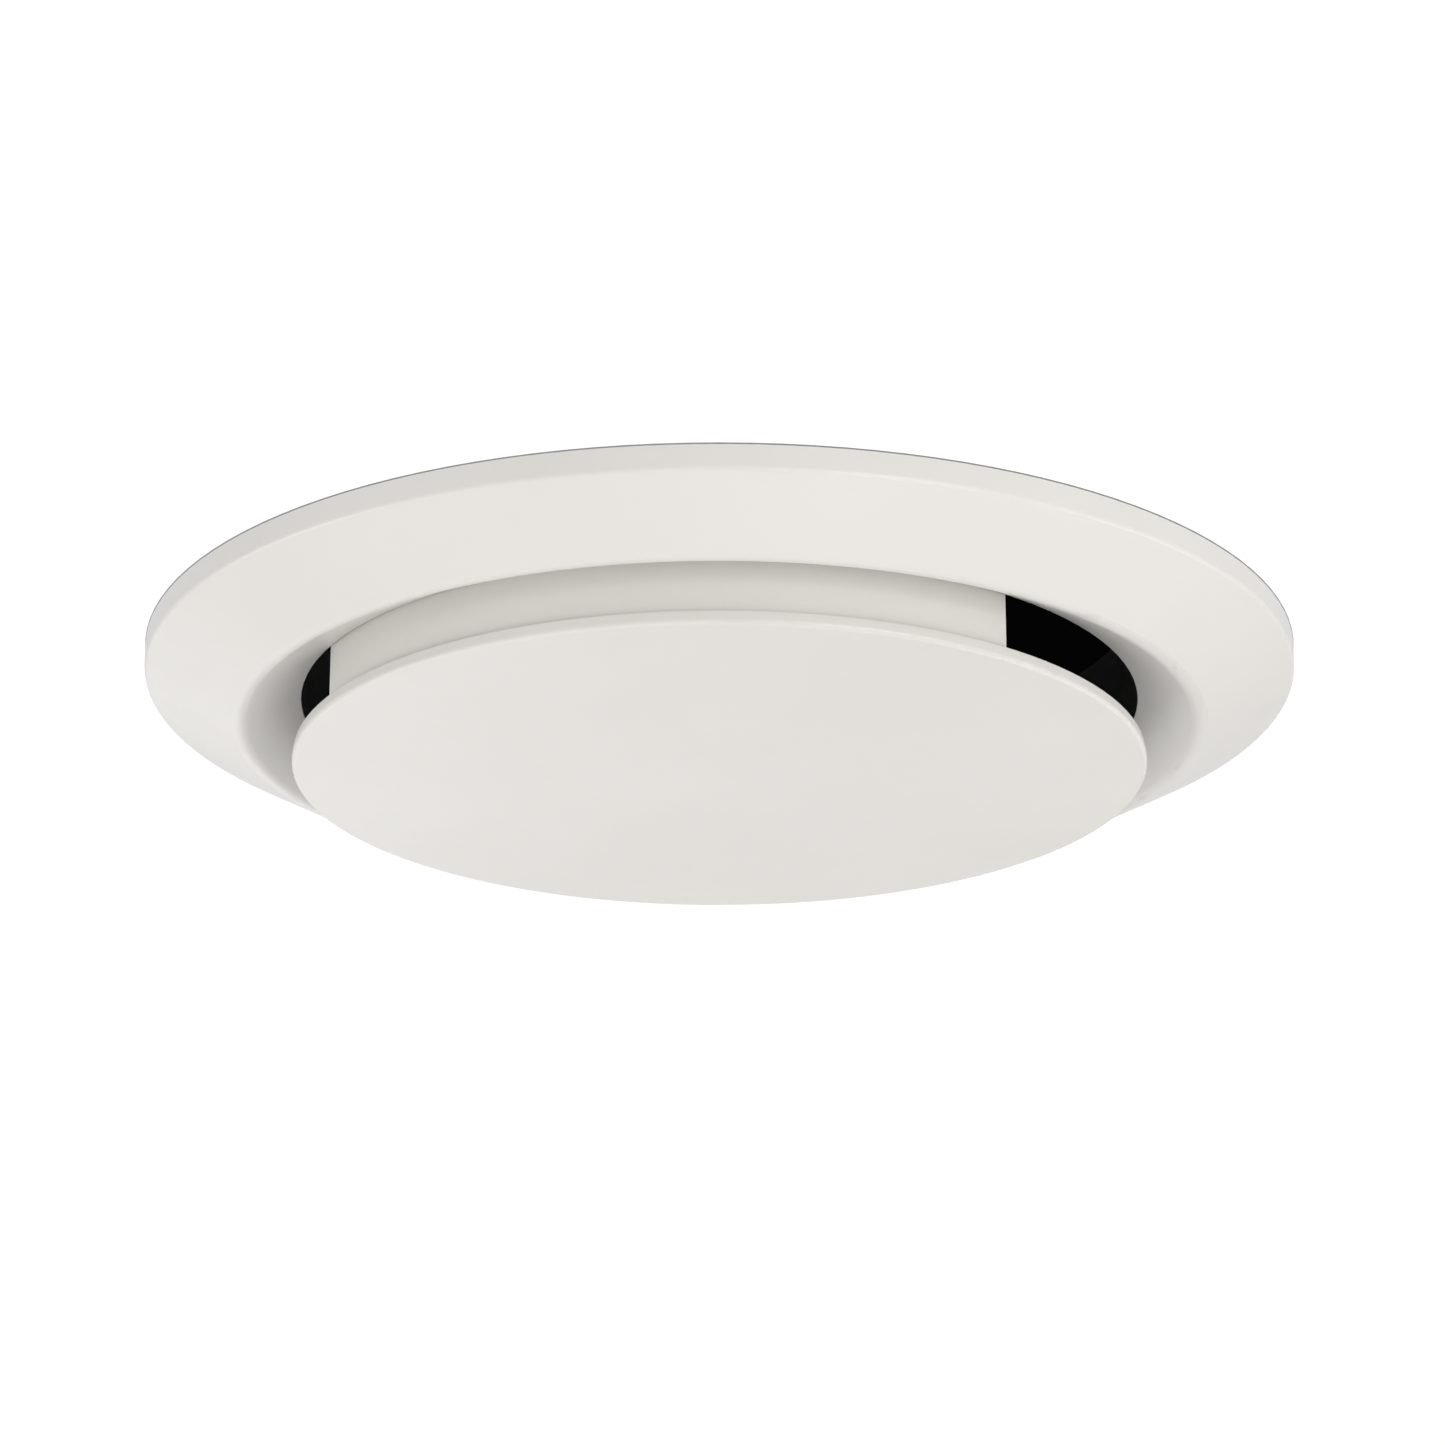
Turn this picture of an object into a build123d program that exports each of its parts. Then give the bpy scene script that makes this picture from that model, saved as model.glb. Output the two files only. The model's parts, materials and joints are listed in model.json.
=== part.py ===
"""Round ceiling air diffuser for a 200 mm duct, with a screw-adjusted disc and a directional baffle.

Millimetres, +Z up. The origin is the centre of the ceiling opening, in the plane of the ceiling's
lower face: the trim ring's rim rests at z = 0, the disc hangs below it and the duct spigot stands above.
"""

from build123d import *
import os
from math import cos, hypot, radians, sin

# Driving dimensions
SPIGOT_R = 99.3          # outside of the spigot, for a duct of 200 mm bore
PIPE_WALL = 2.0          # wall of the spigot
OUTER_R = 133.5          # outside of the trim ring
RIM_HEIGHT = 5.6         # straight outer side of the trim ring
LIP_R, LIP_Z = 111.5, -17.5      # where the ring's face and cone would meet in a sharp edge
LIP_ROUND = 4.0
THROAT_Z = -10.4         # lower edge of the throat
SKIN = 2.4               # wall of the trim ring
STACK_Z = 14.7           # top of the neck, where the bridge and the collar are stacked
FLANGE = 2.5             # each layer of that stack
DISC_R = 99.15
DISC_FACE_Z, DISC_RIM_Z = -26.6, -23.4
DISC_PLATE = 2.2
BAFFLE_GAP = 0.3         # between the baffle and the neck
BAFFLE_WALL = 1.4
BAFFLE_FROM, BAFFLE_TO = -154.3, -49.9   # azimuths of the baffle's two ends, from +X
SPINDLE_R = 5.0
LIFT, DROP = 11.5, 10.0  # travel of the disc above and below its rest height
CLIP_AZIMUTHS = {"a": 30, "b": 150, "c": 270}
ARM_AZIMUTHS = (90, 210, 330)
CLIP_SLOPE = 30          # how far a clip's arm slopes down at rest

# Derived dimensions
BORE_R = SPIGOT_R - PIPE_WALL
BARREL_R = SPIGOT_R + 0.6         # outside of the neck, and of the collar below its seal
RUNNING = 0.06           # radial clearance of a pin or shaft that turns or slides
SEAT_Z = THROAT_Z + 0.4  # the neck stands on this step inside the ring
SEAT_R = BARREL_R + 0.1
COLLAR_R = SEAT_R + 2.0  # outside of the ring's locating collar
NECK_FLANGE_Z = -4.5     # underside of the flange that the ring is screwed to
NECK_FLANGE_R = 109.0
NECK_FLANGE = 2.2
WALL_R = OUTER_R - 3.0   # inside of the ring's outer wall
GASKET_R = 122.0
STACK_R = 108.5
LUG_R, LUG_WIDTH = 111.5, 28.0
BRIDGE_Z = STACK_Z + FLANGE
COLLAR_Z = BRIDGE_Z + FLANGE
SPIGOT_TOP = 62.0
SHEET = 1.2              # sheet steel of the clips
BRACKET_Z = COLLAR_Z + SHEET
STACK_SCREW = (104.0, 7.5)       # radius and sideways offset of each stack screw
RING_SCREW_R = 105.0
HUB_R, HUB_Z, HUB_TOP = 24.0, 13.2, 27.0
GUIDE_R, GUIDE_PIN_R = 18.0, 2.0
DISC_BACK_Z = DISC_FACE_Z + DISC_PLATE
DISC_RIM_R = 98.0        # inside of the disc's rim
HUB_SCREW_R = 21.0
DISC_BOSS_Z = DISC_BACK_Z + 3.0
DISC_FLANGE_Z = DISC_BOSS_Z + 4.0
JOURNAL_R, JOURNAL_TOP = 10.5, -7.4
CARRIER_Z = DISC_FLANGE_Z + 0.6
CARRIER_RING = 5.0
SPOKE = 2.5
BAFFLE_R = BORE_R - BAFFLE_GAP
BAFFLE_Z = DISC_BACK_Z + 0.4
BAFFLE_TOP = STACK_Z - LIFT - 0.8         # clears the bridge's arms with the disc right up
FOOT_R, FOOT, FOOT_SCREW_R = 87.5, 1.4, 90.5
WASHER, NUT = 1.0, 5.0
SPINDLE_TOP = HUB_TOP + DROP + 5
STOP_CLIP_Z = HUB_TOP + DROP + 0.2        # meets the hub with the disc right down
PIVOT_R, PIVOT_Z = 107.5, 31.0
PIN_R = 1.5
EAR_INNER = 9.4          # half the width inside a clip arm's two side flanges
BRACKET_INNER = 11.8     # half the width inside the bracket's ears
COIL_R, WIRE_R, COIL_TURNS = 4.1, 0.6, 6
SPRING_LEG, SPRING_FOOT = 22.0, 10.0
ARM_LENGTH, ARM_HEEL = 46.0, -3.0
ARM_TOP = -COIL_R - WIRE_R - 0.05         # the arm's flat, in its own frame, lies under the spring's leg
ARM_UNDER = ARM_TOP - SHEET
SLEEVE, SLEEVE_LENGTH = 1.6, 11.0
HEAD_HALF, HEAD_POCKET = 7.0, 1.0         # the spindle's square head
SEAL_Z, SEAL_HEIGHT, SEAL_KEEPER = 30.0, 6.0, 1.2
SEAL_FLOOR_R = SPIGOT_R - 0.8     # floor of the seal's channel

UPWARD = (Align.CENTER, Align.CENTER, Align.MIN)


# Shared shapes
def turned(outline, rounds=()):
    """A solid of revolution about Z, from (radius, height) points and (corner, radius) rounds."""
    face = make_face(Polyline(*outline, close=True))
    for corner, radius in rounds:
        face = fillet(face.vertices().sort_by_distance((*corner, 0))[0], radius)
    return revolve(Plane.XZ * face, Axis.Z)


def tube(outer, inner, low, high):
    """A plain ring about Z."""
    height = high - low
    return Pos(0, 0, low) * (Cylinder(outer, height, align=UPWARD) - Cylinder(inner, height, align=UPWARD))


def post(radius, low, high, x=0.0, y=0.0):
    """An upright cylinder."""
    return Pos(x, y, low) * Cylinder(radius, high - low, align=UPWARD)


def block(x, y, z):
    """A box from its limits along each axis."""
    size = [high - low for low, high in (x, y, z)]
    return Pos(x[0], y[0], z[0]) * Box(*size, align=(Align.MIN,) * 3)


def upright(outline, half_width):
    """A plate standing in the XZ plane, as wide as twice half_width along Y."""
    return extrude(Plane.XZ * make_face(Polyline(*outline, close=True)), half_width, both=True)


def around(shape, azimuths):
    """Copies of a shape about Z."""
    return [Rot(0, 0, azimuth) * shape for azimuth in azimuths]


def spaced(count, start=0.0):
    """Evenly spaced azimuths."""
    return [start + 360 * i / count for i in range(count)]


def spread(count, pitch):
    """Evenly spaced positions about zero."""
    return [(i - (count - 1) / 2) * pitch for i in range(count)]


def pan_screw(head_r, shank_r, seat, length, head=2.4):
    """A pan-head screw with a cross recess, its head standing on the height seat."""
    body = fillet(post(head_r, seat, seat + head).edges().sort_by(Axis.Z)[-1], head * 0.4)
    arm = head_r * 0.6
    top = seat + head
    for x, y in ((arm, 0.35), (0.35, arm)):
        body -= block((-x, x), (-y, y), (top - head * 0.6, top))
    return body + post(shank_r, seat - length, seat)


def lugs(low, high):
    """The three lugs of a stack layer, which carry the stack screws and the ceiling clips."""
    lug = block((BORE_R + 1, LUG_R), (-LUG_WIDTH / 2, LUG_WIDTH / 2), (low, high))
    lug = fillet(lug.edges().filter_by(Axis.Z).sort_by(Axis.X)[-2:], 3)
    return around(lug, CLIP_AZIMUTHS.values())


def stack_places():
    """Placements of the six stack screws, two in each lug."""
    radius, offset = STACK_SCREW
    return [Rot(0, 0, azimuth) * Pos(radius, side * offset, 0)
            for azimuth in CLIP_AZIMUTHS.values() for side in (-1, 1)]


def stack_layer(low, high, hole_r=2.2):
    """One flat layer of the stack: a ring with lugs and screw holes."""
    layer = tube(STACK_R, BORE_R, low, high) + lugs(low, high)
    return layer - [place * post(hole_r, low, high) for place in stack_places()]


# The trim ring's wall: its face falls inwards to the lip, and its cone rises from there to the throat
FACE_SLOPE = (-RIM_HEIGHT - LIP_Z) / (OUTER_R - LIP_R)
CONE_SLOPE = (THROAT_Z - LIP_Z) / (LIP_R - BORE_R)


def face_z(radius, depth):
    """Height of the ring's face, at a depth into its wall measured square to it."""
    return LIP_Z + (radius - LIP_R) * FACE_SLOPE + depth * hypot(1, FACE_SLOPE)


def cone_z(radius, depth):
    """Height of the ring's cone, at a depth into its wall measured square to it."""
    return LIP_Z + (LIP_R - radius) * CONE_SLOPE + depth * hypot(1, CONE_SLOPE)


def lip_at(depth):
    """The corner of face and cone at a depth into the wall."""
    lean = depth * (hypot(1, CONE_SLOPE) - hypot(1, FACE_SLOPE)) / (FACE_SLOPE + CONE_SLOPE)
    return LIP_R + lean, face_z(LIP_R + lean, depth)


# Housing
def trim_ring():
    """White ring: rim, face, lip and cone, with a collar, bosses and ribs behind."""
    lip, lip_back = lip_at(0), lip_at(SKIN)
    rim = (OUTER_R, -RIM_HEIGHT)
    shell = turned(
        [(OUTER_R, 0), rim, lip, (BORE_R, THROAT_Z), (BORE_R, SEAT_Z), (SEAT_R, SEAT_Z),
         (SEAT_R, NECK_FLANGE_Z), (COLLAR_R, NECK_FLANGE_Z), (COLLAR_R, cone_z(COLLAR_R, SKIN)),
         lip_back, (WALL_R, face_z(WALL_R, SKIN)), (WALL_R, 0)],
        [(rim, 1.1), (lip, LIP_ROUND), (lip_back, LIP_ROUND - SKIN)],
    )
    middle = SKIN / 2
    room = turned([
        (COLLAR_R - 0.5, 0), (COLLAR_R - 0.5, cone_z(COLLAR_R - 0.5, middle)), lip_at(middle),
        (GASKET_R, face_z(GASKET_R, middle)), (GASKET_R, 0),
    ])
    rib = block((COLLAR_R - 1, GASKET_R - 0.5), (-0.8, 0.8), (LIP_Z, NECK_FLANGE_Z - 0.5))
    boss = post(3.5, LIP_Z, NECK_FLANGE_Z, x=RING_SCREW_R)
    backing = Part() + around(rib, spaced(12, 15)) + around(boss, spaced(6))
    pilot = post(1.5, NECK_FLANGE_Z - 6.5, 0, x=RING_SCREW_R)
    return shell + (backing & room) - around(pilot, spaced(6))


def ceiling_gasket():
    """Foam strip stuck to the back of the face, level with the rim when it is pressed to a ceiling."""
    outer = WALL_R - 0.2
    outline = [(GASKET_R, face_z(GASKET_R, SKIN)), (outer, face_z(outer, SKIN)), (outer, 0), (GASKET_R, 0)]
    return turned(outline)


def ring_screws():
    """Six short screws that hold the trim ring up to the neck's flange."""
    screw = Pos(RING_SCREW_R, 0, 0) * pan_screw(2.8, 1.5, NECK_FLANGE_Z + NECK_FLANGE, 8, head=1.9)
    return Compound(children=around(screw, spaced(6)))


def neck_housing():
    """Black barrel with a lower flange for the ring and a lugged top flange for the stack."""
    top = STACK_Z - FLANGE
    body = tube(BARREL_R, BORE_R, SEAT_Z, STACK_Z)
    flange_top = NECK_FLANGE_Z + NECK_FLANGE
    flange = tube(NECK_FLANGE_R, BORE_R, NECK_FLANGE_Z, flange_top)
    body += flange - around(post(1.7, NECK_FLANGE_Z, flange_top, x=RING_SCREW_R), spaced(6))
    body += stack_layer(top, STACK_Z)
    column_foot = flange_top - 1
    web = block((BORE_R + 1 - STACK_SCREW[0], 0), (-1.2, 1.2), (column_foot, top))
    column = post(4, column_foot, top) + web - post(2.0, flange_top + 1, top)
    return body + [place * column for place in stack_places()]


def bridge():
    """Black spider: a clamped outer ring, three deep arms and the hub that holds the nut."""
    shoulder = HUB_TOP - 2
    arm_outline = [
        (10, HUB_Z), (BORE_R - 4, STACK_Z), (BORE_R + 1, STACK_Z), (BORE_R + 1, BRIDGE_Z),
        (BORE_R - 1, BRIDGE_Z), (BORE_R - 8, BRIDGE_Z + 3), (HUB_R, shoulder), (10, shoulder),
    ]
    arm = upright(arm_outline, 2.5)
    body = stack_layer(STACK_Z, BRIDGE_Z) + around(arm, ARM_AZIMUTHS)
    body += post(HUB_R, HUB_Z, BRIDGE_Z) + post(12, HUB_Z, HUB_TOP)
    for side in (-1, 1):
        body += post(5, HUB_Z, HUB_TOP, x=side * GUIDE_R)
    for side in (-1, 1):
        body -= post(GUIDE_PIN_R + RUNNING, HUB_Z, HUB_TOP, x=side * GUIDE_R)
    return body - post(8, HUB_Z, HUB_TOP)


def nut_insert():
    """Brass nut moulded into the hub, with a flange below."""
    body = post(8, HUB_Z, HUB_TOP) + chamfer(post(11, HUB_Z - 1.5, HUB_Z).edges().sort_by(Axis.Z)[0], 0.4)
    return body - post(SPINDLE_R + RUNNING, HUB_Z - 1.5, HUB_TOP)


def duct_collar():
    """Black collar with the duct spigot and a channel for its seal."""
    seal_top = SEAL_Z + SEAL_HEIGHT
    body = stack_layer(BRIDGE_Z, COLLAR_Z)
    body += tube(BARREL_R, BORE_R, BRIDGE_Z, SEAL_Z) + tube(SEAL_FLOOR_R, BORE_R, SEAL_Z, seal_top)
    body += tube(BARREL_R, BORE_R, seal_top, seal_top + SEAL_KEEPER)
    body += tube(SPIGOT_R, BORE_R, seal_top + SEAL_KEEPER, SPIGOT_TOP)
    rim = body.edges().filter_by(GeomType.CIRCLE).sort_by(Axis.Z)[-2:].sort_by(SortBy.RADIUS)[-1]
    return chamfer(rim, 0.8)


def duct_seal():
    """Rubber seal with two lips that lean back from the duct's end."""
    base = SPIGOT_R + 0.9
    lips = []
    for low in (SEAL_Z + 1.0, SEAL_Z + 3.6):
        lips += [(base, low), (base + 1.5, low - 0.2), (base + 1.5, low + 0.4), (base, low + 1.4)]
    return turned([(SEAL_FLOOR_R, SEAL_Z), (base, SEAL_Z), *lips, (base, SEAL_Z + SEAL_HEIGHT),
                   (SEAL_FLOOR_R, SEAL_Z + SEAL_HEIGHT)])


def collar_screws():
    """Six screws that clamp bracket, collar, bridge and neck together."""
    screw = pan_screw(3.8, 2.0, BRACKET_Z, BRACKET_Z - 2, head=2.2)
    return Compound(children=[place * screw for place in stack_places()])


# Ceiling clips, each built at azimuth 0 and then turned to its place
def arm_underside(radius):
    """Height of a resting arm's underside at a distance from the diffuser's axis."""
    slope = radians(CLIP_SLOPE)
    along = (radius - PIVOT_R - ARM_UNDER * sin(slope)) / cos(slope)
    return PIVOT_Z - along * sin(slope) + ARM_UNDER * cos(slope)


def clip_bracket():
    """Bent sheet bracket: a base under the stack screws, two ears for the pin and a stop for the arm."""
    half = BRACKET_INNER + SHEET
    back, front = SPIGOT_R + 0.9, 110.5
    body = block((back, front), (-half, half), (COLLAR_Z, BRACKET_Z))
    ear_top = PIVOT_Z + 4.5
    ear_outline = [
        (back + 0.8, COLLAR_Z), (front, COLLAR_Z), (front + 2, PIVOT_Z), (front - 0.5, ear_top),
        (PIVOT_R - 2.5, ear_top),
    ]
    ear = upright(ear_outline, SHEET / 2)
    for side in (-1, 1):
        body += Pos(0, side * (BRACKET_INNER + SHEET / 2), 0) * ear
    radius, offset = STACK_SCREW
    for side in (-1, 1):
        body -= post(2.2, COLLAR_Z, BRACKET_Z, x=radius, y=side * offset)
    body += block((front - SHEET, front), (0, 8), (COLLAR_Z, arm_underside(front) - 0.1))
    return body - Pos(PIVOT_R, 0, PIVOT_Z) * Rot(90, 0, 0) * Cylinder(PIN_R, 2 * half)


def clip_pin():
    """Headed pin through the bracket's ears."""
    outer = BRACKET_INNER + SHEET
    body = Cylinder(PIN_R, 2 * outer)
    for side in (-1, 1):
        body += Pos(0, 0, side * (outer + 0.5)) * Cylinder(2.6, 1.0)
    return Pos(PIVOT_R, 0, PIVOT_Z) * Rot(90, 0, 0) * body


def clip_spring():
    """Close-wound torsion spring: one leg pushes the arm down, the other bears on the bracket's base."""
    half = COIL_TURNS * WIRE_R
    turns = [Pos(COIL_R, height) * Circle(WIRE_R) for height in spread(COIL_TURNS, 2 * WIRE_R)]
    section = Sketch() + turns + Pos(COIL_R, 0) * Rectangle(WIRE_R, 2 * half - 2 * WIRE_R)
    coil = Rot(90, 0, 0) * revolve(Plane.XZ * section, Axis.Z)
    leg_r = WIRE_R - 0.01        # a hair under the coil's wire, so that the legs run into it
    leg = Pos(-leg_r, half - WIRE_R, -COIL_R) * Rot(0, 90, 0) * Cylinder(leg_r, SPRING_LEG, align=UPWARD)
    foot = Pos(leg_r, WIRE_R - half, -COIL_R) * Rot(0, -90, 0) * Cylinder(leg_r, SPRING_FOOT, align=UPWARD)
    coil += Rot(0, CLIP_SLOPE, 0) * leg
    coil += Rot(0, -45, 0) * foot
    return Pos(PIVOT_R, 0, PIVOT_Z) * coil


def on_arm(shape):
    """Carries a shape from the arm's own frame, pivot at the origin and arm along X, to its rest place."""
    return Pos(PIVOT_R, 0, PIVOT_Z) * Rot(0, CLIP_SLOPE, 0) * shape


def arm_plate(start, end, grow=0.0):
    """The flat of the arm between two distances from the pivot."""
    half = EAR_INNER + SHEET + grow
    return block((start, end), (-half, half), (ARM_UNDER - grow, ARM_TOP + grow))


def clip_arm():
    """Bent sheet arm: a flat, notched for the spring's foot, with two side flanges that turn on the pin."""
    body = arm_plate(ARM_HEEL, ARM_LENGTH) - block((ARM_HEEL, 8), (-5, -1), (ARM_UNDER, ARM_TOP))
    flange_outline = [(ARM_HEEL, ARM_UNDER), (ARM_HEEL, 0), (3, 3), (6, 0), (30, ARM_TOP), (30, ARM_UNDER)]
    flange = upright(flange_outline, SHEET / 2)
    for side in (-1, 1):
        body += Pos(0, side * (EAR_INNER + SHEET / 2), 0) * flange
    body = fillet(body.edges().filter_by(Axis.Z).sort_by(Axis.X)[-2:], 4)
    body -= Rot(90, 0, 0) * Cylinder(PIN_R + RUNNING, 2 * (EAR_INNER + SHEET))
    return on_arm(body)


def clip_sleeve():
    """Soft sleeve on the arm's tip."""
    start = ARM_LENGTH - SLEEVE_LENGTH
    body = arm_plate(start, ARM_LENGTH + SLEEVE, grow=SLEEVE)
    body = fillet(body.edges().filter_by(Axis.Z).sort_by(Axis.X)[-2:], 5)
    tip = fillet(arm_plate(start, ARM_LENGTH).edges().filter_by(Axis.Z).sort_by(Axis.X)[-2:], 4)
    return on_arm(body - tip)


# Carriage
def baffle():
    """White curved wall with an inward foot and three screw bosses, set just inside the disc's rim."""
    sweep_angle = BAFFLE_TO - BAFFLE_FROM
    inner = BAFFLE_R - BAFFLE_WALL
    outline = [(inner, BAFFLE_TOP), (BAFFLE_R, BAFFLE_TOP), (BAFFLE_R, BAFFLE_Z), (FOOT_R, BAFFLE_Z),
               (FOOT_R, BAFFLE_Z + FOOT), (inner, BAFFLE_Z + FOOT)]
    face = make_face(Polyline(*outline, close=True))
    wall = revolve(Plane.XZ * face, Axis.Z, revolution_arc=sweep_angle)
    body = Rot(0, 0, BAFFLE_FROM) * wall
    body += around(post(2.9, BAFFLE_Z, CARRIER_Z, x=FOOT_SCREW_R), spoke_azimuths())
    return body - around(post(1.3, BAFFLE_Z + 1, CARRIER_Z, x=FOOT_SCREW_R), spoke_azimuths())


def spoke_azimuths():
    """The carrier's three spokes, under the baffle's middle and near its ends."""
    middle = (BAFFLE_FROM + BAFFLE_TO) / 2
    return [middle - 38, middle, middle + 38]


def baffle_carrier():
    """Black frame that turns on the disc's hub and holds the baffle out on three spokes."""
    body = tube(16.5, JOURNAL_R + RUNNING, CARRIER_Z, CARRIER_Z + CARRIER_RING)
    spoke = block((14, FOOT_SCREW_R), (-4, 4), (CARRIER_Z, CARRIER_Z + SPOKE)) + post(
        4, CARRIER_Z, CARRIER_Z + SPOKE, x=FOOT_SCREW_R)
    rib_start, rib_end = (14, CARRIER_Z), (84, CARRIER_Z)
    rib = upright([rib_start, rib_end, (84, CARRIER_Z + SPOKE + 0.5), (14, CARRIER_Z + CARRIER_RING)], 1.0)
    body += around(spoke + rib, spoke_azimuths())
    for side in (-1, 1):
        body += post(4.5, CARRIER_Z, CARRIER_Z + 7, x=side * GUIDE_R)
    for side in (-1, 1):
        body -= post(GUIDE_PIN_R, CARRIER_Z, CARRIER_Z + 7, x=side * GUIDE_R)
    body -= post(JOURNAL_R + RUNNING, CARRIER_Z, CARRIER_Z + CARRIER_RING)
    return body - around(post(1.6, CARRIER_Z, CARRIER_Z + SPOKE, x=FOOT_SCREW_R), spoke_azimuths())


def baffle_screws():
    """Three screws through the spokes into the baffle's bosses."""
    screw = Pos(FOOT_SCREW_R, 0, 0) * pan_screw(2.6, 1.3, CARRIER_Z + SPOKE, 7.5, head=1.8)
    return Compound(children=around(screw, spoke_azimuths()))


def guide_pins():
    """Two steel pins that stand on the carrier and slide in the bridge."""
    pin = post(GUIDE_PIN_R, CARRIER_Z, 36)
    pin = chamfer(pin.edges().sort_by(Axis.Z)[-1], 0.5)
    return Compound(children=[Pos(side * GUIDE_R, 0, 0) * pin for side in (-1, 1)])


# Disc
def face_disc():
    """White disc with a thin rim, and ribs and bosses on its back."""
    rim = (DISC_R, DISC_FACE_Z)
    rim_top = (DISC_R - 0.45, DISC_RIM_Z)
    body = turned(
        [(0, DISC_FACE_Z), rim, rim_top, (DISC_RIM_R, DISC_RIM_Z), (DISC_RIM_R, DISC_BACK_Z),
         (0, DISC_BACK_Z)],
        [(rim, 0.9), (rim_top, 0.35)],
    )
    rib_top = DISC_BOSS_Z - 0.5
    inner, outer = 29.0, 86.0
    rib = block((inner, outer), (-0.7, 0.7), (DISC_BACK_Z - 0.5, rib_top))
    body += around(rib, spaced(12, 15))
    for radius in (inner, (inner + outer) / 2, outer):
        body += tube(radius + 0.7, radius - 0.7, DISC_BACK_Z - 0.5, rib_top)
    boss = post(3.6, DISC_BACK_Z - 0.5, DISC_BOSS_Z, x=HUB_SCREW_R)
    body += around(boss, spaced(4, 45))
    return body - around(post(1.5, DISC_BACK_Z, DISC_BOSS_Z, x=HUB_SCREW_R), spaced(4, 45))


def disc_hub():
    """Black hub on the disc's bosses: flange, journal for the carrier and bore for the spindle."""
    body = post(26, DISC_BOSS_Z, DISC_FLANGE_Z) + post(JOURNAL_R, DISC_FLANGE_Z, JOURNAL_TOP)
    groove = CARRIER_Z + CARRIER_RING + 0.1
    body -= tube(JOURNAL_R + 1, JOURNAL_R - 0.8, groove, groove + 1.1)
    body -= post(SPINDLE_R, DISC_BOSS_Z, JOURNAL_TOP)
    body -= block((-HEAD_HALF, HEAD_HALF), (-HEAD_HALF, HEAD_HALF), (DISC_BOSS_Z, DISC_BOSS_Z + HEAD_POCKET))
    for hole in (post(1.7, DISC_BOSS_Z, DISC_FLANGE_Z, x=HUB_SCREW_R),
                 post(3.2, DISC_FLANGE_Z - 2.2, DISC_FLANGE_Z, x=HUB_SCREW_R)):
        body -= around(hole, spaced(4, 45))
    return body


def hub_screws():
    """Four screws sunk in the hub's flange."""
    screw = Pos(HUB_SCREW_R, 0, 0) * pan_screw(2.9, 1.5, DISC_FLANGE_Z - 2.2, 4.6, head=1.9)
    return Compound(children=around(screw, spaced(4, 45)))


def spindle():
    """Steel spindle with a square head keyed in the hub; its thread is a plain cylinder at full diameter."""
    head = block((-HEAD_HALF, HEAD_HALF), (-HEAD_HALF, HEAD_HALF),
                 (DISC_BOSS_Z + HEAD_POCKET - 3, DISC_BOSS_Z + HEAD_POCKET))
    rod = chamfer(post(SPINDLE_R, DISC_BOSS_Z + HEAD_POCKET, SPINDLE_TOP).edges().sort_by(Axis.Z)[-1], 0.8)
    groove = tube(SPINDLE_R + 1, SPINDLE_R - 0.8, STOP_CLIP_Z, STOP_CLIP_Z + WASHER)
    return head + rod - groove


def spindle_washer():
    """Plain washer between the hub's journal and the spindle's nut."""
    return tube(9.5, SPINDLE_R, JOURNAL_TOP, JOURNAL_TOP + WASHER)


def spindle_nut():
    """Hexagon nut that clamps the spindle to the hub."""
    low = JOURNAL_TOP + WASHER
    nut = Pos(0, 0, low) * extrude(RegularPolygon(8.0, 6, major_radius=False), NUT)
    crown = Pos(0, 0, low) * Cone(9.6, 8.6, NUT, align=UPWARD)
    return (nut & crown) - post(SPINDLE_R, low, low + NUT)


def open_clip(outer, inner, low, thick, mouth):
    """A retaining ring with a gap."""
    return tube(outer, inner, low, low + thick) - block((0, outer + 1), (-mouth, mouth), (low, low + thick))


def carrier_clip():
    """Retaining ring that keeps the carrier on the hub's journal."""
    return open_clip(13.0, JOURNAL_R - 0.8, CARRIER_Z + CARRIER_RING + 0.15, 1.0, 3.0)


def stop_clip():
    """Retaining ring near the spindle's top, which stops the disc being unscrewed."""
    return open_clip(8.5, SPINDLE_R - 0.8, STOP_CLIP_Z, WASHER, 2.5)


def friction_washer():
    """Thin washer under the carrier, which keeps the disc from drifting."""
    return tube(16.0, JOURNAL_R + 0.2, DISC_FLANGE_Z, DISC_FLANGE_Z + 0.5)


PIECES = [trim_ring, ceiling_gasket, ring_screws, neck_housing, bridge, nut_insert, duct_collar, duct_seal,
          collar_screws, baffle, baffle_carrier, baffle_screws, guide_pins, face_disc, disc_hub, hub_screws,
          spindle, spindle_washer, spindle_nut, carrier_clip, stop_clip, friction_washer]
CLIP_PIECES = [clip_bracket, clip_pin, clip_spring, clip_arm, clip_sleeve]

os.makedirs("parts", exist_ok=True)
for piece in PIECES:
    export_step(piece(), f"parts/{piece.__name__}.step")
for piece in CLIP_PIECES:
    shape = piece()
    for letter, azimuth in CLIP_AZIMUTHS.items():
        export_step(Rot(0, 0, azimuth) * shape, f"parts/{piece.__name__}_{letter}.step")
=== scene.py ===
"""Looks of the round ceiling air diffuser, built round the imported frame.

Metres, +Z up. The origin is the centre of the ceiling opening, in the plane of the ceiling's lower face.
The three clips stand at the azimuths of their fold joints. The camera looks up from the -Y side.
"""

import json
from math import cos, pi, radians, sin

import bmesh
import bpy
from mathutils import Matrix, Vector, noise


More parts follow.
